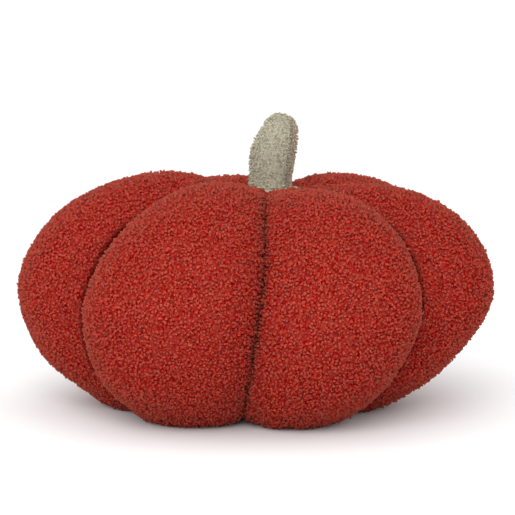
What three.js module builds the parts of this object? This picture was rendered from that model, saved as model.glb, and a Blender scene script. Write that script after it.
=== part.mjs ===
// A stuffed cloth pumpkin, 400 mm across, with a stuffed cloth stem on a round patch of cloth on its top.
// Six gores of looped-pile cloth are sewn edge to edge and filled, so the body is six lobes that swell between
// drawn-in seams. Each lobe is one solid: its gore with the share of the filling that the gore holds.
// Millimetres, +Z up, the front towards -Y, and the middle of the footprint at the origin.
import * as THREE from "three";

const GAP = 0.3;

// The middle line of the body leans: its top end lies to the right of its bottom end.
const TOP_POLE = { x: 11, y: 2, z: 180 };
const BOTTOM_POLE = { x: -10, y: 0, z: 26 };

// Places on a lobe from the top pole to the bottom pole. Out and up are the distance from the middle line and the
// height of the line over the middle of a lobe; seamOut and seamUp are those of the seams beside it. Lift, bulge
// and tuck are the shares that a place gets of those of the lobe. A height below zero is pressed flat.
const STATIONS = [
  { place: "top pole", out: 0, up: 180, seamOut: 0, seamUp: 180, lift: 0, bulge: 0, tuck: 0 },
  { place: "collar", out: 24, up: 180.5, seamOut: 23, seamUp: 177, lift: 0, bulge: 0, tuck: 0 },
  { place: "crest", out: 80, up: 190, seamOut: 76, seamUp: 170, lift: 1, bulge: 0, tuck: 0 },
  { place: "shoulder", out: 132, up: 180, seamOut: 112, seamUp: 143, lift: 1, bulge: 1, tuck: 0 },
  { place: "upper side", out: 177, up: 150, seamOut: 127, seamUp: 118, lift: 1, bulge: 1, tuck: 0 },
  { place: "belt", out: 203, up: 97, seamOut: 132, seamUp: 93, lift: 1, bulge: 0.2, tuck: 0.25 },
  { place: "lower side", out: 183, up: 40, seamOut: 130, seamUp: 66, lift: 1, bulge: 0, tuck: 1 },
  { place: "heel", out: 142, up: 8, seamOut: 118, seamUp: 34, lift: 1, bulge: 0, tuck: 1 },
  { place: "sole", out: 102, up: -5, seamOut: 95, seamUp: 12, lift: 0, bulge: 0, tuck: 0.4 },
  { place: "arch", out: 51, up: 4, seamOut: 51, seamUp: 14, lift: 0, bulge: 0, tuck: 0 },
  { place: "bottom pole", out: 0, up: 26, seamOut: 0, seamUp: 26, lift: 0, bulge: 0, tuck: 0 },
];

// The lobes, anticlockwise from the front as seen from above. The first seam of a lobe turns from seamTop to
// seamBottom, in degrees from the front. In millimetres, lift is how much higher the lobe stands than the others,
// bulge how much further its upper side comes out, and tuck how much further its lower side is drawn in.
const LOBES = [
  { name: "lobe_front_right", seamTop: -6, seamBottom: 1, lift: -3, bulge: -2, tuck: 6 },
  { name: "lobe_side_right", seamTop: 54, seamBottom: 52, lift: -2, bulge: -1, tuck: 13 },
  { name: "lobe_back_right", seamTop: 99, seamBottom: 107, lift: 1, bulge: 4, tuck: 6 },
  { name: "lobe_back_left", seamTop: 166, seamBottom: 174, lift: -2, bulge: 0, tuck: 4 },
  { name: "lobe_side_left", seamTop: 239, seamBottom: 241, lift: 7, bulge: 5, tuck: 6 },
  { name: "lobe_front_left", seamTop: 299, seamBottom: 304, lift: 3, bulge: 0, tuck: 5 },
];

// A seam has turned to its lower direction at this share of the way down.
const TURNED = 0.45;

// How full a lobe is between its seams: 1 makes half an ellipse, and less makes it fuller beside the seams.
const FULLNESS = 0.8;

const ROWS = 28;
const COLUMNS = 18;

// The stem, from its foot to its tip: the height above its foot, how far its middle has leaned to the right, and
// half its width and depth.
const STEM = [
  { up: 0, lean: 0, width: 17.5, depth: 17 },
  { up: 6, lean: 0, width: 17.5, depth: 17 },
  { up: 18, lean: 1, width: 18.7, depth: 17.5 },
  { up: 31, lean: 2.5, width: 19.4, depth: 17.5 },
  { up: 40, lean: 5, width: 18, depth: 16.5 },
  { up: 47, lean: 7, width: 16.5, depth: 15 },
  { up: 53, lean: 8.5, width: 14, depth: 13 },
  { up: 57.5, lean: 8.5, width: 11, depth: 10.5 },
  { up: 60.5, lean: 8, width: 7, depth: 7 },
  { up: 62, lean: 7.5, width: 3.5, depth: 3.5 },
  { up: 62.5, lean: 7.5, width: 0, depth: 0 },
];
const STEM_ROWS = 30;
const STEM_SIDES = 28;

const PATCH_RADIUS = 24.5;
const PATCH_THICKNESS = 2.5;
const PATCH_SIDES = 40;
const PATCH_UNDERSIDE = 181.2;

const rust = new THREE.MeshStandardMaterial({ color: 0xa63428, roughness: 0.95, metalness: 0 });
const greige = new THREE.MeshStandardMaterial({ color: 0xa89f8c, roughness: 0.95, metalness: 0 });

// Adds the two triangles of each cell of a grid of points, leaving out those that have shrunk to a line.
function addCells(triangles, grid, turned = false) {
  const add = (a, b, c) => {
    if (a.equals(b) || b.equals(c) || c.equals(a)) return;
    triangles.push(...(turned ? [c, b, a] : [a, b, c]));
  };
  for (let j = 0; j + 1 < grid.length; j++) {
    for (let k = 0; k + 1 < grid[j].length; k++) {
      add(grid[j][k], grid[j + 1][k], grid[j + 1][k + 1]);
      add(grid[j][k], grid[j + 1][k + 1], grid[j][k + 1]);
    }
  }
}

function meshOf(name, triangles, material) {
  const geometry = new THREE.BufferGeometry().setFromPoints(triangles);
  geometry.computeVertexNormals();
  const mesh = new THREE.Mesh(geometry, material);
  mesh.name = name;
  return mesh;
}

// A point of the middle line, at a share of the way down.
function middleAt(share) {
  return new THREE.Vector3().lerpVectors(TOP_POLE, BOTTOM_POLE, share);
}

// The line over the middle of a lobe. Its x is the distance out and its y the height.
function crownCurve(lobe) {
  const points = STATIONS.map((s) => {
    const out = s.out + s.bulge * lobe.bulge - s.tuck * lobe.tuck;
    return new THREE.Vector2(out, s.up + s.lift * lobe.lift);
  });
  return new THREE.SplineCurve(points);
}

// The line of the seam between two lobes, which stands half as high as they do above the others.
function seamCurve(one, other) {
  const lift = (one.lift + other.lift) / 2;
  const points = STATIONS.map((s) => new THREE.Vector2(s.seamOut, s.seamUp + s.lift * lift));
  return new THREE.SplineCurve(points);
}

// The direction of the first seam of a lobe, at a share of the way down.
function seamDirection(lobe, share) {
  return THREE.MathUtils.lerp(lobe.seamTop, lobe.seamBottom, THREE.MathUtils.smoothstep(share, 0, TURNED));
}

// A point of the body in a direction from the middle line, at a distance out and a height.
function placed(degrees, out, up) {
  const height = Math.max(up, 0);
  const middle = middleAt((TOP_POLE.z - height) / (TOP_POLE.z - BOTTOM_POLE.z));
  const angle = THREE.MathUtils.degToRad(degrees);
  return new THREE.Vector3(middle.x + out * Math.sin(angle), middle.y - out * Math.cos(angle), height);
}

// A lobe swells from its first seam over its middle to its second seam, so that it meets its neighbours in a
// narrow crease. Flat walls along the seams close it to the middle line.
function makeLobe(index) {
  const lobe = LOBES[index];
  const before = LOBES[(index + LOBES.length - 1) % LOBES.length];
  const after = LOBES[(index + 1) % LOBES.length];
  const round = index + 1 < LOBES.length ? 0 : 360;
  const crown = crownCurve(lobe);
  const first = seamCurve(before, lobe);
  const second = seamCurve(lobe, after);

  const cloth = [];
  const firstWall = [];
  const secondWall = [];
  for (let j = 0; j <= ROWS; j++) {
    const share = j / ROWS;
    const atPole = j === 0 || j === ROWS;
    const middle = middleAt(share);
    const [top, start, end] = [crown, first, second].map((curve) => curve.getPoint(share));
    const startDirection = seamDirection(lobe, share);
    const endDirection = seamDirection(after, share) + round;
    const row = [];
    for (let k = 0; k <= COLUMNS; k++) {
      const turn = Math.PI * (k / COLUMNS - 0.5);
      const across = (1 + Math.sin(turn)) / 2;
      const swell = Math.max(Math.cos(turn), 0) ** FULLNESS;
      const { x: out, y: up } = start.clone().lerp(end, across).lerp(top, swell);
      const direction = THREE.MathUtils.lerp(startDirection, endDirection, across);
      row.push(atPole ? middle : placed(direction, Math.max(out, 0), up));
    }
    cloth.push(row);
    firstWall.push([middle, row[0]]);
    secondWall.push([middle, row[COLUMNS]]);
  }
  const triangles = [];
  addCells(triangles, cloth);
  addCells(triangles, firstWall);
  addCells(triangles, secondWall, true);
  const mesh = meshOf(lobe.name, triangles, rust);
  const facing = THREE.MathUtils.degToRad((lobe.seamTop + after.seamTop + round) / 2);
  mesh.position.set(GAP * Math.sin(facing), -GAP * Math.cos(facing), 0);
  return mesh;
}

// A ring of points of an ellipse round a centre, which ends on its first point.
function ring(centre, halfWidth, halfDepth, sides) {
  return Array.from({ length: sides + 1 }, (_, k) => {
    const angle = (2 * Math.PI * (k % sides)) / sides;
    const point = new THREE.Vector3(halfWidth * Math.cos(angle), halfDepth * Math.sin(angle), 0);
    return point.add(centre);
  });
}

function makeStem(foot) {
  const path = new THREE.CatmullRomCurve3(STEM.map((s) => new THREE.Vector3(s.lean, 0, s.up)));
  const girth = new THREE.CatmullRomCurve3(STEM.map((s) => new THREE.Vector3(s.width, s.depth, s.up)));
  const rings = [ring(foot, 0, 0, STEM_SIDES)];
  for (let j = 0; j <= STEM_ROWS; j++) {
    const half = girth.getPoint(j / STEM_ROWS);
    rings.push(ring(path.getPoint(j / STEM_ROWS).add(foot), half.x, half.y, STEM_SIDES));
  }
  const triangles = [];
  addCells(triangles, rings, true);
  return meshOf("stem", triangles, greige);
}

// The round patch of cloth under the stem, a flat piece with a rounded rim.
function makePatch() {
  const geometry = new THREE.LatheGeometry(
    [
      new THREE.Vector2(0, 0),
      new THREE.Vector2(PATCH_RADIUS - PATCH_THICKNESS / 2, 0),
      new THREE.Vector2(PATCH_RADIUS, PATCH_THICKNESS / 2),
      new THREE.Vector2(PATCH_RADIUS - PATCH_THICKNESS / 2, PATCH_THICKNESS),
      new THREE.Vector2(0, PATCH_THICKNESS),
    ],
    PATCH_SIDES,
  );
  geometry.rotateX(Math.PI / 2);
  const patch = new THREE.Mesh(geometry, greige);
  patch.name = "stem_patch";
  patch.position.set(TOP_POLE.x, TOP_POLE.y, PATCH_UNDERSIDE);
  return patch;
}

const pumpkin = new THREE.Group();
LOBES.forEach((_, index) => pumpkin.add(makeLobe(index)));
pumpkin.add(makePatch());
pumpkin.add(makeStem(new THREE.Vector3(TOP_POLE.x, TOP_POLE.y, PATCH_UNDERSIDE + PATCH_THICKNESS + GAP)));

const middleOfAll = new THREE.Box3().setFromObject(pumpkin, true).getCenter(new THREE.Vector3());
pumpkin.position.set(-middleOfAll.x, -middleOfAll.y, 0);

export default pumpkin;
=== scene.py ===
# %% [markdown]
# # A stuffed cloth pumpkin
# The object is soft furnishing: six gores of curly looped-pile cloth are sewn edge to edge and filled, so
# they swell between drawn-in seams, and a small stuffed stem stands on a round patch of cloth on the top.
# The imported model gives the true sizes. Each soft piece starts from its solid, is pressed and blown up a
# little, gets real curls as its surface, and last its colours.

# %% Load the model
import math

import bpy
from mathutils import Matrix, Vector, noise


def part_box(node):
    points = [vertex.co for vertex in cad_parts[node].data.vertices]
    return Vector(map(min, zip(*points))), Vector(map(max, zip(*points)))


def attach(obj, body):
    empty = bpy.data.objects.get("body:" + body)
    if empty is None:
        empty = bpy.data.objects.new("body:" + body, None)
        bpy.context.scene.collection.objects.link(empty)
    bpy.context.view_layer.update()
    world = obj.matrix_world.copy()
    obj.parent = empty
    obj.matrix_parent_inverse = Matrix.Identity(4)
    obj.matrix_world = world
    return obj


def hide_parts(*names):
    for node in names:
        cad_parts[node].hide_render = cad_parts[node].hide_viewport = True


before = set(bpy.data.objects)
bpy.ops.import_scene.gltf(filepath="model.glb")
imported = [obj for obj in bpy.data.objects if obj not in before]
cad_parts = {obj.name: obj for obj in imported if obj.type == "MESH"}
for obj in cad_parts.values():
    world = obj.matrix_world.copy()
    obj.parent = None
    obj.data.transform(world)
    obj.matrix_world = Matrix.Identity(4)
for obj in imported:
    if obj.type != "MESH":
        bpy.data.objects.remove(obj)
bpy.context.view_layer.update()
print("solids:", sorted(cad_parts))

# %% [markdown]
# ## The camera, the floor and the light
# The picture was taken from 1.6 m away with a long lens, from a little above the pumpkin's top, so the
# lobes behind just show over those in front. The object stands in even white light: a white sky, a white
# floor that sends light up under the lobes, and one large soft light over the camera.

# %% Camera
CAMERA_AT = Vector((0.0025, -1.6, 0.31))
CAMERA_AIM = Vector((0.0025, 0.0, 0.124))
FOCAL_MM = 132.8

bpy.ops.object.camera_add(location=CAMERA_AT)
camera = bpy.context.object
camera.name = "camera"
camera.rotation_euler = (CAMERA_AIM - CAMERA_AT).to_track_quat("-Z", "Y").to_euler()
camera.data.lens = FOCAL_MM
camera.data.sensor_width = 36.0
camera.data.clip_start = 0.05
camera.data.clip_end = 50.0
bpy.context.scene.camera = camera
print("camera at", tuple(camera.location))

# %% A helper for node trees
def put(tree, kind, inputs=None, **settings):
    """Adds a node with its settings, and fills its inputs with values or links to other nodes."""
    made = tree.nodes.new(kind)
    for name, value in settings.items():
        setattr(made, name, value)
    for name, value in (inputs or {}).items():
        if isinstance(value, bpy.types.NodeSocket):
            tree.links.new(value, made.inputs[name])
        else:
            made.inputs[name].default_value = value
    return made


# %% Floor, sky and light
def plain_material(name, colour, roughness):
    made = bpy.data.materials.new(name)
    made.use_nodes = True
    shader = made.node_tree.nodes["Principled BSDF"]
    shader.inputs["Base Color"].default_value = (*colour, 1.0)
    shader.inputs["Roughness"].default_value = roughness
    return made


bpy.ops.mesh.primitive_plane_add(size=30.0, location=(0, 0, 0))
floor = bpy.context.object
floor.name = "floor"
floor.data.materials.append(plain_material("white floor", (0.93, 0.93, 0.93), 0.9))

sky = bpy.data.worlds.new("white sky")
bpy.context.scene.world = sky
sky.use_nodes = True
sky.node_tree.nodes["Background"].inputs["Color"].default_value = (1.0, 1.0, 1.0, 1.0)
sky.node_tree.nodes["Background"].inputs["Strength"].default_value = 1.1

bpy.ops.object.light_add(type="AREA", location=(-0.3, -1.7, 0.98))
soft_light = bpy.context.object
soft_light.name = "soft_light"
soft_light.rotation_euler = (Vector((0, 0, 0.1)) - soft_light.location).to_track_quat("-Z", "Y").to_euler()
soft_light.data.shape = "DISK"
soft_light.data.size = 1.5
soft_light.data.energy = 23.0
bpy.context.scene.view_settings.view_transform = "Standard"
print("light", soft_light.data.energy, "W")

# %% [markdown]
# ## Filled lobes
# A gore is flat cloth that the filling pushes out, as far as the seams beside it allow. A lobe could be
# sculpted by hand, but a copy of its solid already has the right size. So it is remeshed into even squares,
# pressed against the next lobes beside the seams, and blown up as cloth with its seams pinned. The push is
# small, about a millimetre, and capped, so that the lobe keeps the size of its solid.

# %% Helpers for editing
def only(piece):
    """Selects one piece and makes it the active one."""
    if bpy.context.object and bpy.context.object.mode != "OBJECT":
        bpy.ops.object.mode_set(mode="OBJECT")
    bpy.ops.object.select_all(action="DESELECT")
    bpy.context.view_layer.objects.active = piece
    piece.select_set(True)


def apply_modifier(piece, kind, **settings):
    """Adds one modifier, sets it, and applies it."""
    only(piece)
    made = piece.modifiers.new(kind.lower(), kind)
    for name, value in settings.items():
        setattr(made, name, value)
    bpy.ops.object.modifier_apply(modifier=made.name)


def share_of(amount, full):
    """An amount as a share of the full one, kept between 0 and 1."""
    return min(max(amount / full, 0.0), 1.0)


def copy_of(node, name):
    """A closed copy of a solid, with its doubled points merged."""
    piece = bpy.data.objects.new(name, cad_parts[node].data.copy())
    bpy.context.scene.collection.objects.link(piece)
    piece.data.materials.clear()
    only(piece)
    bpy.ops.object.mode_set(mode="EDIT")
    bpy.ops.mesh.select_all(action="SELECT")
    bpy.ops.mesh.remove_doubles(threshold=1e-5)
    bpy.ops.mesh.normals_make_consistent(inside=False)
    bpy.ops.object.mode_set(mode="OBJECT")
    return piece


# %% Where a lobe touches its neighbours
from mathutils.bvhtree import BVHTree

LOBES = [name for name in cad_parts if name.startswith("lobe_")]
FAR_MM = 24.0


def nearest_within(tree, point):
    """The nearest point on a tree's faces and its distance in millimetres, or None and FAR_MM past that."""
    nearest, _, _, gap = tree.find_nearest(point, FAR_MM / 1000)
    return (None, FAR_MM) if nearest is None else (nearest, gap * 1000)


def tree_of_others(lobe):
    """One search tree that holds the faces of all the other lobes."""
    corners, faces = [], []
    for name in LOBES:
        if name != lobe:
            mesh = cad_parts[name].data
            first = len(corners)
            corners += [v.co.copy() for v in mesh.vertices]
            faces += [tuple(first + i for i in p.vertices) for p in mesh.polygons]
    return BVHTree.FromPolygons(corners, faces)


def mark_open(piece, lobe):
    """Keeps with each point how far it is from the nearest other lobe, in millimetres."""
    others = tree_of_others(lobe)
    gaps = [nearest_within(others, v.co)[1] for v in piece.data.vertices]
    kept = piece.data.attributes.get("gap_mm") or piece.data.attributes.new("gap_mm", "FLOAT", "POINT")
    kept.data.foreach_set("value", gaps)
    return gaps


# %% Press the lobes together at the creases
BESIDE = {"lobe_front_left": ("lobe_front_right", "lobe_side_left"),
          "lobe_front_right": ("lobe_front_left", "lobe_side_right"),
          "lobe_side_left": ("lobe_front_left", "lobe_back_left"),
          "lobe_side_right": ("lobe_front_right", "lobe_back_right"),
          "lobe_back_left": ("lobe_side_left", "lobe_back_right"),
          "lobe_back_right": ("lobe_side_right", "lobe_back_left")}
FRONT_PAIR = {"lobe_front_left", "lobe_front_right"}
FRONT_LEFT_CLOSING = 0.32
FRONT_RIGHT_CLOSING = 0.60
SIDE_CLOSING = 0.60
BACK_CLOSING = 0.42
EASED_MM = 4.0


def tree_of(node):
    """A search tree of one solid's faces."""
    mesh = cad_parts[node].data
    corners = [v.co.copy() for v in mesh.vertices]
    return BVHTree.FromPolygons(corners, [tuple(p.vertices) for p in mesh.polygons])


def closing(lobe, neighbour):
    """The share of its way to the next lobe that the cloth moves. Front lobes stay beside side ones."""
    if {lobe, neighbour} == FRONT_PAIR:
        return FRONT_LEFT_CLOSING if lobe == "lobe_front_left" else FRONT_RIGHT_CLOSING
    if lobe in FRONT_PAIR:
        return 0.0
    return SIDE_CLOSING if neighbour in FRONT_PAIR else BACK_CLOSING


def press_against(piece, neighbour, share_moved):
    """Moves the cloth beside a seam towards the next lobe, as filled lobes lean on each other."""
    tree = tree_of(neighbour)
    for vertex in piece.data.vertices:
        nearest, gap = nearest_within(tree, vertex.co)
        share = gap / FAR_MM
        if nearest is not None:
            eased = min(gap / EASED_MM, 1.0)
            vertex.co = vertex.co.lerp(nearest, share_moved * (1.0 - share * share) * eased)


# %% How deep in a crease the cloth lies, for the painted shade there
# Painted shade in the creases: how far from the next lobe it reaches, and how that changes with height.
OPEN_CLOTH = 3.0
FRONT_NARROWING = 3.6
SIDE_LEAST = 1.2
SHADED_MM = {"lobe_side_left": 10.2, "lobe_side_right": 8.4}
BACK_SHADED_MM = 3.0
MORE_LOW_DOWN_MM = 3.0
LESS_HIGH_UP_MM = 4.0
FADES_OVER_MM = 4.0
LOW_DOWN_FROM = 0.11
LOW_DOWN_OVER = 0.06
HIGH_UP_FROM = 0.15
OPENS_FROM = 0.155
HIGH_UP_OVER = 0.02


def crease_rank(lobe, neighbour, gap, height):
    """Turns a gap in millimetres into a place in the crease's painted shade: 0 at its bottom, OPEN_CLOTH
    where it ends.
    """
    if {lobe, neighbour} == FRONT_PAIR:
        return gap * FRONT_NARROWING
    if neighbour in FRONT_PAIR:
        low_down = share_of(LOW_DOWN_FROM - height, LOW_DOWN_OVER)
        high_up = share_of(height - HIGH_UP_FROM, HIGH_UP_OVER)
        shaded_to = SHADED_MM[lobe] + MORE_LOW_DOWN_MM * low_down - LESS_HIGH_UP_MM * high_up
    else:
        shaded_to = BACK_SHADED_MM
    least = SIDE_LEAST + (OPEN_CLOTH - SIDE_LEAST) * share_of(height - OPENS_FROM, HIGH_UP_OVER)
    return least + (OPEN_CLOTH - least) * max(gap - shaded_to, 0.0) / FADES_OVER_MM


def mark_crease(piece, lobe):
    """Keeps with each point its place in the nearest crease, for the painted shade there."""
    ranks = [OPEN_CLOTH * 2] * len(piece.data.vertices)
    for neighbour in BESIDE[lobe]:
        tree = tree_of(neighbour)
        for vertex in piece.data.vertices:
            gap = nearest_within(tree, vertex.co)[1]
            ranks[vertex.index] = min(ranks[vertex.index], crease_rank(lobe, neighbour, gap, vertex.co.z))
    piece.data.attributes.new("from_crease", "FLOAT", "POINT").data.foreach_set("value", ranks)


# %% The cloth simulation
PRESSURE = 4.0
FRAMES = 20


def blow_up(piece, pin_group, most):
    """Runs a pinned cloth simulation with pressure inside, and keeps each point's move under a limit."""
    before = [v.co.copy() for v in piece.data.vertices]
    only(piece)
    cloth = piece.modifiers.new("cloth", "CLOTH")
    cloth.settings.quality = 5
    cloth.settings.mass = 0.3
    cloth.settings.tension_stiffness = 15
    cloth.settings.compression_stiffness = 15
    cloth.settings.shear_stiffness = 5
    cloth.settings.bending_stiffness = 0.5
    cloth.settings.use_pressure = True
    cloth.settings.uniform_pressure_force = PRESSURE
    cloth.settings.effector_weights.gravity = 0
    cloth.settings.vertex_group_mass = pin_group.name
    cloth.point_cache.frame_end = FRAMES
    for number in range(1, FRAMES + 1):
        bpy.context.scene.frame_set(number)
    bpy.ops.object.modifier_apply(modifier="cloth")
    bpy.context.scene.frame_set(1)
    longest = 0.0
    for vertex, start in zip(piece.data.vertices, before):
        move = vertex.co - start
        longest = max(longest, move.length)
        if move.length > most:
            vertex.co = start + move * (most / move.length)
        vertex.co.z = max(vertex.co.z, 0.0)
    return longest


# %% Room for the pile
PILE_DEPTH = 0.0023
PATCH_MIDDLE = (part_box("stem_patch")[0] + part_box("stem_patch")[1]) / 2
PATCH_NEAR = 0.050
PATCH_NEAR_FADE = 0.02
PATCH_RING = 0.042
RING_HALF = 0.020
PATCH_SWELL = 0.0026
FRONT_FROM = 0.010
FRONT_OVER = 0.015
BARE_MM = 0.5
FULL_OVER_MM = 5.0


def pile_inset(place, gap):
    """How far the cloth is drawn in for its pile. In front of the patch it swells instead, over the rim."""
    from_patch = (place - PATCH_MIDDLE).length
    in_front = share_of(-place.y - FRONT_FROM, FRONT_OVER)
    by_patch = in_front * share_of(PATCH_NEAR - from_patch, PATCH_NEAR_FADE)
    inset = PILE_DEPTH * share_of(gap - BARE_MM, FULL_OVER_MM) * (1.0 - by_patch)
    ring = max(1.0 - abs(from_patch - PATCH_RING) / RING_HALF, 0.0)
    return inset - PATCH_SWELL * in_front * ring * ring * (3 - 2 * ring)


# %% Blow up the lobes
VOXEL = 0.0040
MOST_SWELL = 0.003
PINNED_TO_MM = 12.0
PINS_FADE_MM = 10.0

lobes = {}
for lobe in LOBES:
    piece = copy_of(lobe, lobe + "_cloth")
    apply_modifier(piece, "REMESH", mode="VOXEL", voxel_size=VOXEL, use_smooth_shade=True)
    gaps = mark_open(piece, lobe)
    pins = piece.vertex_groups.new(name="pins")
    for vertex, gap in zip(piece.data.vertices, gaps):
        vertex.co = vertex.co - vertex.normal * pile_inset(vertex.co, gap)
        pins.add([vertex.index], share_of(PINNED_TO_MM - gap, PINS_FADE_MM), "REPLACE")
    for neighbour in BESIDE[lobe]:
        press_against(piece, neighbour, closing(lobe, neighbour))
    moved = blow_up(piece, pins, MOST_SWELL)
    print(lobe, len(piece.data.vertices), "points, moved at most", round(moved * 1000, 1), "mm")
    piece.vertex_groups.clear()
    mark_open(piece, lobe)
    mark_crease(piece, lobe)
    lobes[lobe] = piece


# %% [markdown]
# ## Stem and patch
# The stem is a small sewn tube with the same kind of filling, so it is made in the same way, from smaller
# squares. Its cloth is so short that the push hardly moves it. Its seam runs down the right side as a
# narrow groove: that is narrower than the squares of the remesh, so it is pressed in afterwards. The foot
# flares a little and sinks into the patch, as a sewn foot does. The patch is one layer of cloth, a thin
# round sheet that lies on the lobes.

# %% Blow up the stem
STEM_VOXEL = 0.0026
STEM_PILE_DEPTH = 0.0011
STEM_MOST_SWELL = 0.0015
STEM_SMOOTHING = 12
FLARE_HIGH_MM = 5.0
FLARE = 0.0022
FOOT_SINK = 0.0022
FOOT_INSET_MM = 3.0
FOOT_PINNED_MM = 8.0
FOOT_PINS_FADE_MM = 6.0

stem = copy_of("stem", "stem_cloth")
stem_low, stem_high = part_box("stem")
apply_modifier(stem, "REMESH", mode="VOXEL", voxel_size=STEM_VOXEL, use_smooth_shade=True)
pins = stem.vertex_groups.new(name="pins")
foot = [v.co.copy() for v in stem.data.vertices if v.co.z < stem_low[2] + 0.003]
foot_middle = sum(foot, Vector()) / len(foot)
for vertex in stem.data.vertices:
    above = (vertex.co.z - stem_low[2]) * 1000
    inset = STEM_PILE_DEPTH * share_of(above, FOOT_INSET_MM)
    outward = Vector((vertex.co.x - foot_middle.x, vertex.co.y - foot_middle.y, 0.0)).normalized()
    foot_share = max(1.0 - above / FLARE_HIGH_MM, 0.0)
    vertex.co = vertex.co - vertex.normal * inset + outward * FLARE * foot_share ** 2
    vertex.co.z -= FOOT_SINK * foot_share
    pins.add([vertex.index], share_of(FOOT_PINNED_MM - above, FOOT_PINS_FADE_MM), "REPLACE")
moved = blow_up(stem, pins, STEM_MOST_SWELL)
print("stem moved at most", round(moved * 1000, 1), "mm")
stem.vertex_groups.clear()
apply_modifier(stem, "SMOOTH", factor=0.5, iterations=STEM_SMOOTHING)
apply_modifier(stem, "SUBSURF", levels=1, render_levels=1)

# %% Press in the seam of the stem
STEM_SEAM_TURN = math.radians(-38)
SEAM_HALF_WIDTH = 0.0018
SEAM_DEEP = 0.0009
SLICES = 14
SLICE_HALF = 0.003
ENDS_SKIPPED = 0.008
GROOVE_TOP = 0.004
GROOVE_FADE = 0.006
STEM_OPEN_MM = 3.0
BLUSH_TO = 110
BLUSH_FADE = 12.0


def stem_middle(height):
    """The middle of the stem's section at a height."""
    near = [v.co for v in stem.data.vertices if abs(v.co.z - height) < SLICE_HALF]
    across, along = [p.x for p in near], [p.y for p in near]
    return (min(across) + max(across)) / 2, (min(along) + max(along)) / 2


sliced_height = stem_high[2] - stem_low[2] - ENDS_SKIPPED
slice_heights = [stem_low[2] + SLICE_HALF + sliced_height * i / (SLICES - 1) for i in range(SLICES)]
slice_middles = [stem_middle(h) for h in slice_heights]
gaps, creases, blushes = [], [], []
for vertex in stem.data.vertices:
    step = (vertex.co.z - slice_heights[0]) / (slice_heights[1] - slice_heights[0])
    low = min(max(int(step), 0), SLICES - 2)
    share = min(max(step - low, 0.0), 1.0)
    x = slice_middles[low][0] * (1 - share) + slice_middles[low + 1][0] * share
    y = slice_middles[low][1] * (1 - share) + slice_middles[low + 1][1] * share
    away = Vector((vertex.co.x - x, vertex.co.y - y))
    angle = math.atan2(away.y, away.x) - STEM_SEAM_TURN
    across = abs(away.length * math.sin(angle)) if math.cos(angle) > 0 else 1.0
    top_fade = share_of(stem_high[2] - GROOVE_TOP - vertex.co.z, GROOVE_FADE)
    press = max(1.0 - across / SEAM_HALF_WIDTH, 0.0) * top_fade
    vertex.co = vertex.co - vertex.normal * SEAM_DEEP * press
    gaps.append(STEM_OPEN_MM * (1.0 - 0.8 * press))
    # In the seam's groove the colours paint shade, as in the creases of the lobes.
    creases.append(OPEN_CLOTH * (1.0 - press))
    turn = math.degrees(angle)
    blushes.append(share_of(turn, BLUSH_FADE) if turn < BLUSH_TO else 0.0)
stem.data.attributes.new("gap_mm", "FLOAT", "POINT").data.foreach_set("value", gaps)
stem.data.attributes.new("from_crease", "FLOAT", "POINT").data.foreach_set("value", creases)
stem.data.attributes.new("blush", "FLOAT", "POINT").data.foreach_set("value", blushes)
print("stem", len(stem.data.polygons), "faces")

# %% The patch under the stem
PATCH_VOXEL = 0.0009
DROOP = 0.0012
DROOP_FROM = 0.006
DROOP_OVER = 0.016

patch = copy_of("stem_patch", "stem_patch_cloth")
apply_modifier(patch, "REMESH", mode="VOXEL", voxel_size=PATCH_VOXEL, use_smooth_shade=True)
for vertex in patch.data.vertices:
    vertex.co.z -= DROOP * share_of(-vertex.co.y - DROOP_FROM, DROOP_OVER)
print("patch", len(patch.data.polygons), "faces")

# %% [markdown]
# ## Looped pile
# The cloth's face is a carpet of small curls of yarn, about 3 mm across, packed with dark gaps between
# them. A bump in the material would stay flat at the outline, so the curls are real: one arch of yarn is
# modelled, with legs that reach down into the cloth, and a geometry node group spreads copies of it, each
# turned, tipped and sized by chance. Clumps of curls stand higher than the cracks between them, and where
# two lobes meet the curls are short. The height in the curl is kept with its points, because the colours
# need it later.

# %% One curl
def make_curl(name, yarn, reach, leg):
    """A small arch of yarn: a three-sided ring, spun about Y, with its ends merged and drawn down."""
    bpy.ops.object.select_all(action="DESELECT")
    bpy.ops.mesh.primitive_circle_add(vertices=3, radius=yarn, location=(reach, 0, 0))
    curl = bpy.context.object
    curl.name = name
    bpy.ops.object.transform_apply(location=True, rotation=True, scale=True)
    bpy.ops.object.mode_set(mode="EDIT")
    bpy.ops.mesh.select_all(action="SELECT")
    bpy.ops.mesh.spin(steps=3, angle=math.pi, center=(0, 0, 0), axis=(0, 1, 0))
    for side in (-1, 1):
        bpy.ops.mesh.select_all(action="DESELECT")
        bpy.ops.object.mode_set(mode="OBJECT")
        for vertex in curl.data.vertices:
            vertex.select = abs(vertex.co.z) < yarn * 0.1 and vertex.co.x * side > 0
        bpy.ops.object.mode_set(mode="EDIT")
        bpy.ops.mesh.merge(type="CENTER")
    bpy.ops.mesh.select_all(action="SELECT")
    bpy.ops.mesh.normals_make_consistent(inside=False)
    bpy.ops.object.mode_set(mode="OBJECT")
    for vertex in curl.data.vertices:
        if vertex.co.z < yarn * 0.1:
            vertex.co.z -= leg
    top = max(v.co.z for v in curl.data.vertices)
    arch = [share_of(v.co.z, top) for v in curl.data.vertices]
    curl.data.attributes.new("arch", "FLOAT", "POINT").data.foreach_set("value", arch)
    bpy.ops.object.shade_flat()
    print(name, len(curl.data.polygons), "faces,", round(top * 1000, 2), "mm high")
    return curl


curl = make_curl("curl", yarn=0.00105, reach=0.0007, leg=0.0014)

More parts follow.
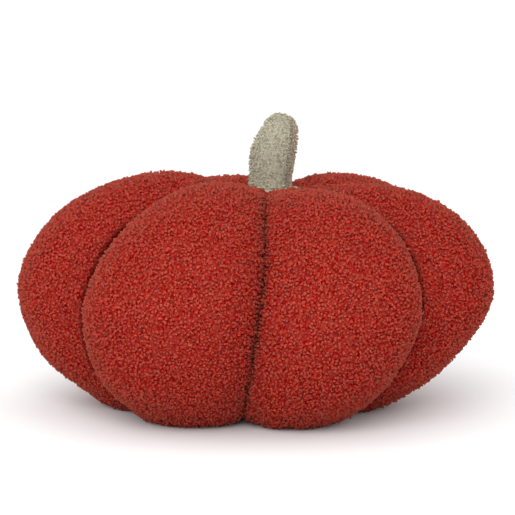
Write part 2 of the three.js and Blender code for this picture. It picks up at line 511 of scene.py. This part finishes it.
# %% Where the curls clump
def clump_field(tree, place, size):
    """Adds nodes to a tree that give 1 on a clump of curls and 0 in the short cracks between the clumps."""
    per_metre = put(tree, "ShaderNodeMath", {0: 1.0, 1: size}, operation="DIVIDE").outputs[0]
    swirl = put(tree, "ShaderNodeTexNoise", {"Vector": place, "Scale": per_metre,
                                             "Detail": 2.0}).outputs["Color"]
    centred = put(tree, "ShaderNodeVectorMath", {0: swirl, 1: (0.5, 0.5, 0.5)},
                  operation="SUBTRACT").outputs[0]
    shift = put(tree, "ShaderNodeVectorMath", {0: centred, "Scale": size}, operation="SCALE").outputs[0]
    warped = put(tree, "ShaderNodeVectorMath", {0: place, 1: shift}, operation="ADD").outputs[0]
    edge = put(tree, "ShaderNodeTexVoronoi", {"Vector": warped, "Scale": per_metre},
               feature="DISTANCE_TO_EDGE").outputs[0]
    crack = put(tree, "ShaderNodeMapRange", {"Value": edge, "From Min": 0.02, "From Max": 0.20,
                                             "To Min": 1.0, "To Max": 0.0}).outputs[0]
    finer = put(tree, "ShaderNodeMath", {0: 2.0, 1: size}, operation="DIVIDE").outputs[0]
    broken = put(tree, "ShaderNodeTexNoise", {"Vector": warped, "Scale": finer, "Detail": 1.0}).outputs["Fac"]
    shown = put(tree, "ShaderNodeMapRange", {"Value": broken, "From Min": 0.44, "From Max": 0.60}).outputs[0]
    depth = put(tree, "ShaderNodeMath", {0: crack, 1: shown}, operation="MULTIPLY").outputs[0]
    return put(tree, "ShaderNodeMath", {0: 1.0, 1: depth}, operation="SUBTRACT").outputs[0]


# %% The pile group
UNEVEN_ACROSS = 0.022
LEAST_CURL = (0.8, 0.9, 0.5)
MOST_CURL = (1.3, 1.4, 1.15)
STRAY_TALL = 1.9
NOT_STRAY = 0.95


def pile_group(curl):
    """Spreads copies of the curl over a piece, in raised clumps, and keeps what the colours need."""
    tree = bpy.data.node_groups.new("looped pile", "GeometryNodeTree")
    face = tree.interface
    face.new_socket("Geometry", in_out="INPUT", socket_type="NodeSocketGeometry")
    for name, value in (("Spacing", 0.0025), ("Size", 1.0), ("Clump Size", 0.005),
                        ("Clump Rise", 0.0012), ("Crease Size", 1.0)):
        face.new_socket(name, in_out="INPUT", socket_type="NodeSocketFloat").default_value = value
    face.new_socket("Seed", in_out="INPUT", socket_type="NodeSocketInt").default_value = 1
    face.new_socket("Geometry", in_out="OUTPUT", socket_type="NodeSocketGeometry")
    given = put(tree, "NodeGroupInput").outputs
    place = put(tree, "GeometryNodeInputPosition").outputs[0]
    facing = put(tree, "GeometryNodeInputNormal").outputs[0]
    gap = put(tree, "GeometryNodeInputNamedAttribute", {"Name": "gap_mm"}, data_type="FLOAT").outputs[0]

    def calc(operation, *values, kind="ShaderNodeMath"):
        made = put(tree, kind, operation=operation)
        for index, value in enumerate(values):
            if isinstance(value, bpy.types.NodeSocket):
                tree.links.new(value, made.inputs[index])
            elif value is not None:
                made.inputs[index].default_value = value
        return made.outputs[0]

    def ramp(value, low, high, start=0.0, end=1.0):
        return put(tree, "ShaderNodeMapRange", {"Value": value, "From Min": low, "From Max": high,
                                               "To Min": start, "To Max": end}).outputs[0]

    def scaled(vector, factor):
        return put(tree, "ShaderNodeVectorMath", {0: vector, "Scale": factor}, operation="SCALE").outputs[0]

    def chance(low, high, seed):
        return put(tree, "FunctionNodeRandomValue", {"Min": low, "Max": high, "Seed": seed},
                   data_type="FLOAT").outputs[1]

    clump = clump_field(tree, place, given["Clump Size"])
    clouds = put(tree, "ShaderNodeTexNoise", {"Vector": place, "Scale": calc("DIVIDE", 1.0, UNEVEN_ACROSS),
                                              "Detail": 2.0}).outputs["Fac"]
    patchy = ramp(clouds, 0.35, 0.65)
    open_share = ramp(gap, 0.4, 3.5)
    rise = calc("MULTIPLY", calc("MULTIPLY", given["Clump Rise"], calc("SUBTRACT", clump, 0.2)), open_share)
    # The cloth under the curls is kept low in the pile, so the colours paint it with shade.
    ground = put(tree, "GeometryNodeStoreNamedAttribute",
                 {"Geometry": given["Geometry"], "Name": "pile_height",
                  "Value": ramp(clump, 0.0, 1.0, 0.2, 0.5)},
                 domain="POINT", data_type="FLOAT").outputs[0]
    ground = put(tree, "GeometryNodeStoreNamedAttribute",
                 {"Geometry": ground, "Name": "cloth_facing", "Value": facing},
                 domain="POINT", data_type="FLOAT_VECTOR").outputs[0]
    crowd = calc("DIVIDE", 1.6, calc("MULTIPLY", given["Spacing"], given["Spacing"]))
    spots = put(tree, "GeometryNodeDistributePointsOnFaces",
                {"Mesh": ground, "Distance Min": given["Spacing"], "Density Max": crowd,
                 "Density Factor": ramp(gap, 0.5, 0.9), "Seed": given["Seed"]},
                distribute_method="POISSON").outputs
    lift = calc("ADD", rise, calc("MULTIPLY", chance(-0.0003, 0.0007, 6), open_share))
    raised = put(tree, "GeometryNodeSetPosition", {"Geometry": spots["Points"],
                                                   "Offset": scaled(spots["Normal"], lift)}).outputs[0]
    lean = put(tree, "ShaderNodeCombineXYZ", {"X": chance(-0.7, 0.7, 1), "Y": chance(-0.4, 0.4, 2),
                                              "Z": chance(-math.pi, math.pi, 3)}).outputs[0]
    turned = put(tree, "FunctionNodeRotateRotation", {"Rotation": spots["Rotation"], "Rotate By": lean},
                 rotation_space="LOCAL").outputs[0]
    shapes = put(tree, "FunctionNodeRandomValue",
                 {"Min": LEAST_CURL, "Max": MOST_CURL, "Seed": 4},
                 data_type="FLOAT_VECTOR").outputs[0]
    taller = ramp(chance(0.0, 1.0, 7), NOT_STRAY, 1.0, 1.0, STRAY_TALL)
    stray = put(tree, "ShaderNodeCombineXYZ", {"X": 1.0, "Y": 1.0, "Z": taller})
    shapes = calc("MULTIPLY", shapes, stray.outputs[0], kind="ShaderNodeVectorMath")
    by_crease = ramp(gap, 0.5, 4.0, given["Crease Size"], 1.0)
    grown = calc("MULTIPLY", ramp(patchy, 0.0, 1.0, 0.96, 1.04), by_crease)
    size = scaled(shapes, calc("MULTIPLY", grown, given["Size"]))
    shape = put(tree, "GeometryNodeObjectInfo", {"Object": curl},
                transform_space="ORIGINAL").outputs["Geometry"]
    curls = put(tree, "GeometryNodeInstanceOnPoints", {"Points": raised, "Instance": shape,
                                                       "Rotation": turned, "Scale": size}).outputs[0]
    curls = put(tree, "GeometryNodeStoreNamedAttribute", {"Geometry": curls, "Name": "clump",
                                                          "Value": chance(0.85, 1.15, 5)},
                domain="INSTANCE", data_type="FLOAT").outputs[0]
    curls = put(tree, "GeometryNodeRealizeInstances", {"Geometry": curls}).outputs[0]
    clump_kept = put(tree, "GeometryNodeInputNamedAttribute", {"Name": "clump"}, data_type="FLOAT").outputs[0]
    arch_kept = put(tree, "GeometryNodeInputNamedAttribute", {"Name": "arch"}, data_type="FLOAT").outputs[0]
    # Low on each curl the colours paint shade, at its top a painted highlight.
    curls = put(tree, "GeometryNodeStoreNamedAttribute",
                {"Geometry": curls, "Name": "pile_height",
                 "Value": calc("MULTIPLY", clump_kept, ramp(arch_kept, 0.0, 1.0, 0.1, 0.9))},
                domain="POINT", data_type="FLOAT").outputs[0]
    both = put(tree, "GeometryNodeJoinGeometry")
    tree.links.new(curls, both.inputs[0])
    tree.links.new(ground, both.inputs[0])
    rested = calc("MAXIMUM", place, (-10.0, -10.0, 0.0), kind="ShaderNodeVectorMath")
    settled = put(tree, "GeometryNodeSetPosition",
                  {"Geometry": both.outputs[0], "Position": rested}).outputs[0]
    put(tree, "NodeGroupOutput", {"Geometry": settled})
    return tree


looped_pile = pile_group(curl)


def grow_pile(piece, **values):
    """Gives a piece its curls."""
    only(piece)
    made = piece.modifiers.new("pile", "NODES")
    made.node_group = looped_pile
    sockets = {s.name: s.identifier for s in looped_pile.interface.items_tree if s.in_out == "INPUT"}
    for name, value in values.items():
        made[sockets[name.replace("_", " ")]] = value
    bpy.ops.object.modifier_apply(modifier="pile")
    print(piece.name, sum(len(p.vertices) - 2 for p in piece.data.polygons), "triangles")


# %% Curls on the lobes
for number, (lobe, piece) in enumerate(lobes.items()):
    grow_pile(piece, Spacing=0.0020, Size=1.14, Clump_Size=0.0042, Clump_Rise=0.0019, Crease_Size=0.4,
              Seed=number + 1)

# %% Smaller curls on the stem
grow_pile(stem, Spacing=0.0015, Size=0.8, Clump_Size=0.0048, Clump_Rise=0.0016, Seed=20)
bpy.data.objects.remove(curl)

# %% A short pile on the patch
PATCH_NAP = 0.0009
# The colours paint shade where the nap dips and a highlight where it rises.
patch_heights = []
for vertex in patch.data.vertices:
    wave = noise.noise(vertex.co * 420) * 0.6 + noise.noise(vertex.co * 1100) * 0.4
    vertex.co = vertex.co + vertex.normal * PATCH_NAP * wave
    patch_heights.append(share_of(0.6 + wave, 1.0))
open_cloth = [OPEN_CLOTH] * len(patch_heights)
facings = [value for vertex in patch.data.vertices for value in vertex.normal]
patch.data.attributes.new("cloth_facing", "FLOAT_VECTOR", "POINT").data.foreach_set("vector", facings)
patch.data.attributes.new("from_crease", "FLOAT", "POINT").data.foreach_set("value", open_cloth)
patch.data.attributes.new("pile_height", "FLOAT", "POINT").data.foreach_set("value", patch_heights)
only(patch)
bpy.ops.object.shade_smooth()
print("patch nap", round(min(patch_heights), 2), "to", round(max(patch_heights), 2))

# %% [markdown]
# ## Colours of the pile
# Each cloth is dyed in one colour, but it looks deep between the curls and in the cracks between the
# clumps, and paler at the tips. One flat colour would look like plastic, and a painted picture wouldn't
# follow the curls. So a node group mixes three tones by the height in the pile, by the cracks, by fine
# fibres and by how deep in a crease the cloth lies: the deep tone is painted shade between the curls, in
# the cracks and in the creases, and the pale tone is a painted highlight at the tips. Both cloths use it,
# each with its own values.

# %% The pile colour group
FIBRES_PER_METRE = 1100.0
# Where the painted shade in a crease is at its darkest.
CREASE_DARK_TO = OPEN_CLOTH * 0.35


def pile_colour_group():
    """Colours pile by its height: painted shade in the gaps, a painted highlight at the tips, fine fibres
    over both.
    """
    tree = bpy.data.node_groups.new("pile colour", "ShaderNodeTree")
    face = tree.interface
    for name, kind in (("Place", "Vector"), ("Pile Height", "Float"), ("Clump Size", "Float"),
                       ("From Crease", "Float"), ("Crease Shade", "Float"), ("Body At", "Float"),
                       ("Blush", "Float"), ("Blush Colour", "Color"), ("Gap Colour", "Color"),
                       ("Body Colour", "Color"), ("Tip Colour", "Color")):
        face.new_socket(name, in_out="INPUT", socket_type="NodeSocket" + kind)
    face.new_socket("Colour", in_out="OUTPUT", socket_type="NodeSocketColor")
    face.new_socket("Relief", in_out="OUTPUT", socket_type="NodeSocketFloat")
    given = put(tree, "NodeGroupInput").outputs
    fibre = put(tree, "ShaderNodeTexNoise", {"Vector": given["Place"], "Scale": FIBRES_PER_METRE,
                                             "Detail": 2.0, "Roughness": 0.6}).outputs["Fac"]
    strand = put(tree, "ShaderNodeMapRange", {"Value": fibre, "From Min": 0.3, "From Max": 0.7,
                                              "To Min": -0.35, "To Max": 0.3}).outputs[0]
    clump = clump_field(tree, given["Place"], given["Clump Size"])
    # Painted shade in the cracks between the clumps.
    between = put(tree, "ShaderNodeMapRange", {"Value": clump, "To Min": -0.75, "To Max": 0.0}).outputs[0]
    height = put(tree, "ShaderNodeMath", {0: given["Pile Height"], 1: between}, operation="ADD").outputs[0]
    level = put(tree, "ShaderNodeMath", {0: height, 1: strand}, operation="ADD").outputs[0]
    lower = put(tree, "ShaderNodeMapRange",
                {"Value": level, "From Min": 0.0, "From Max": given["Body At"]}).outputs[0]
    upper = put(tree, "ShaderNodeMapRange",
                {"Value": level, "From Min": given["Body At"], "From Max": 1.0}).outputs[0]
    # Deep in the pile the colour is painted shade, at the tips a painted highlight.
    deep = put(tree, "ShaderNodeMix", {0: lower, 6: given["Gap Colour"], 7: given["Body Colour"]},
               data_type="RGBA").outputs[2]
    whole = put(tree, "ShaderNodeMix", {0: upper, 6: deep, 7: given["Tip Colour"]},
                data_type="RGBA").outputs[2]
    # Painted shade in the creases: the gap colour darkened, mixed in deep in a crease.
    dark = put(tree, "ShaderNodeVectorMath", {0: given["Gap Colour"], "Scale": given["Crease Shade"]},
               operation="SCALE").outputs[0]
    creased = put(tree, "ShaderNodeMapRange",
                  {"Value": given["From Crease"], "From Min": CREASE_DARK_TO, "From Max": OPEN_CLOTH,
                   "To Min": 1.0, "To Max": 0.0}).outputs[0]
    shaded = put(tree, "ShaderNodeMix", {0: creased, 6: whole, 7: dark}, data_type="RGBA").outputs[2]
    # A pinker tone multiplied in on the stem, from its seam round one side.
    pink_banded = put(tree, "ShaderNodeMix", {0: given["Blush"], 6: shaded, 7: given["Blush Colour"]},
                 data_type="RGBA", blend_type="MULTIPLY").outputs[2]
    put(tree, "NodeGroupOutput", {"Colour": pink_banded, "Relief": fibre})
    return tree


pile_colour = pile_colour_group()
print("pile colour", len(pile_colour.nodes), "nodes")

# %% [markdown]
# ## Materials
# Pile cloth is rough and has no shine, but light enters its fibres and comes out a little further on, and
# where the cloth turns away from the eye it looks paler, as sheen. So the finish is a rough shader with a
# little light below the surface, its colours come from the pile group, and a paler tone is mixed in at the
# turned-away places as painted sheen, but not in the creases. The shading mostly follows the cloth and not
# each curl, because real fibres are too soft to have hard sides.

# %% The pile finish
FIBRE_SOFTNESS = 0.93
PAINTED_SHEEN_FROM = 0.45


def pile_material(name, sheen, sheen_tint, glow, glow_deep, painted_sheen, painted_sheen_share, **values):
    """A cloth finish that takes its colours from the pile colour group, with the group's inputs as values,
    and painted sheen where it turns away.
    """
    made = bpy.data.materials.new(name)
    made.use_nodes = True
    tree = made.node_tree
    shader = tree.nodes["Principled BSDF"]
    pile = put(tree, "ShaderNodeGroup", node_tree=pile_colour)
    tree.links.new(put(tree, "ShaderNodeTexCoord").outputs["Object"], pile.inputs["Place"])
    for attribute in ("pile_height", "from_crease", "blush"):
        kept = put(tree, "ShaderNodeAttribute", attribute_name=attribute)
        tree.links.new(kept.outputs["Fac"], pile.inputs[attribute.replace("_", " ").title()])
    for wanted, value in values.items():
        socket = pile.inputs[wanted.replace("_", " ").title()]
        socket.default_value = value if isinstance(value, float) else (*value, 1)
    cloth_facing = put(tree, "ShaderNodeAttribute", attribute_name="cloth_facing").outputs["Vector"]
    # Painted sheen: a paler tone mixed in where the cloth turns away from the eye, but not in the creases.
    turned_away = put(tree, "ShaderNodeLayerWeight", {"Blend": 0.5, "Normal": cloth_facing}).outputs["Facing"]
    painted_sheen_mix = put(tree, "ShaderNodeMapRange", {"Value": turned_away, "From Min": PAINTED_SHEEN_FROM, "From Max": 1.0,
                                             "To Max": painted_sheen_share}).outputs[0]
    from_crease = put(tree, "ShaderNodeAttribute", attribute_name="from_crease").outputs["Fac"]
    in_open = put(tree, "ShaderNodeMapRange", {"Value": from_crease, "From Min": OPEN_CLOTH * 0.5,
                                               "From Max": OPEN_CLOTH}).outputs[0]
    painted_sheen_mix = put(tree, "ShaderNodeMath", {0: painted_sheen_mix, 1: in_open}, operation="MULTIPLY").outputs[0]
    paler = put(tree, "ShaderNodeMix", {0: painted_sheen_mix, 6: pile.outputs["Colour"], 7: (*painted_sheen, 1)},
                data_type="RGBA").outputs[2]
    tree.links.new(paler, shader.inputs["Base Color"])
    shader.inputs["Roughness"].default_value = 0.95
    shader.inputs["Specular IOR Level"].default_value = 0.05
    shader.inputs["Sheen Weight"].default_value = sheen
    shader.inputs["Sheen Tint"].default_value = (*sheen_tint, 1)
    shader.inputs["Sheen Roughness"].default_value = 0.25
    shader.subsurface_method = "BURLEY"
    shader.inputs["Subsurface Weight"].default_value = 1.0
    shader.inputs["Subsurface Scale"].default_value = glow_deep
    shader.inputs["Subsurface Radius"].default_value = glow
    own_facing = put(tree, "ShaderNodeNewGeometry").outputs["Normal"]
    soft_facing = put(tree, "ShaderNodeMix", {0: FIBRE_SOFTNESS, 4: own_facing, 5: cloth_facing},
                      data_type="VECTOR").outputs[1]
    facing = put(tree, "ShaderNodeVectorMath", {0: soft_facing}, operation="NORMALIZE").outputs[0]
    bump = put(tree, "ShaderNodeBump", {"Height": pile.outputs["Relief"], "Normal": facing, "Strength": 0.2,
                                        "Distance": 0.001})
    tree.links.new(bump.outputs[0], shader.inputs["Normal"])
    return made


# %% Colours of the lobes
# The gap colour is painted shade deep in the pile, the tip colour a painted highlight, crease_shade painted
# shade in the creases.
rust_pile = pile_material("rust pile", sheen=0.02, sheen_tint=(1.0, 0.50, 0.28), glow=(1.0, 0.12, 0.08),
                          glow_deep=0.0018, painted_sheen=(0.28, 0.080, 0.052), painted_sheen_share=0.45,
                          crease_shade=0.15, body_at=0.45, clump_size=0.0042, blush_colour=(1.0, 1.0, 1.0),
                          gap_colour=(0.243, 0.003, 0.003), body_colour=(0.315, 0.030, 0.019),
                          tip_colour=(0.340, 0.071, 0.046))
for lobe, piece in lobes.items():
    piece.data.materials.clear()
    piece.data.materials.append(rust_pile)
    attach(piece, "root")
    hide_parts(lobe)
print("rust pile on", len(lobes), "lobes")

# %% Colours of the stem and the patch
# The gap colour is painted shade deep in the pile, the tip colour a painted highlight, crease_shade painted
# shade in the seam.
greige_pile = pile_material("greige pile", sheen=0.08, sheen_tint=(1.0, 0.80, 0.72), glow=(1.0, 0.9, 0.7),
                            glow_deep=0.0006, painted_sheen=(0.40, 0.375, 0.29), painted_sheen_share=0.3,
                            crease_shade=0.8, body_at=0.5, clump_size=0.0048, blush_colour=(1.0, 0.84, 0.82),
                            gap_colour=(0.265, 0.244, 0.182), body_colour=(0.425, 0.394, 0.298),
                            tip_colour=(0.47, 0.441, 0.338))
for piece, node in ((stem, "stem"), (patch, "stem_patch")):
    piece.data.materials.clear()
    piece.data.materials.append(greige_pile)
    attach(piece, "root")
    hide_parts(node)
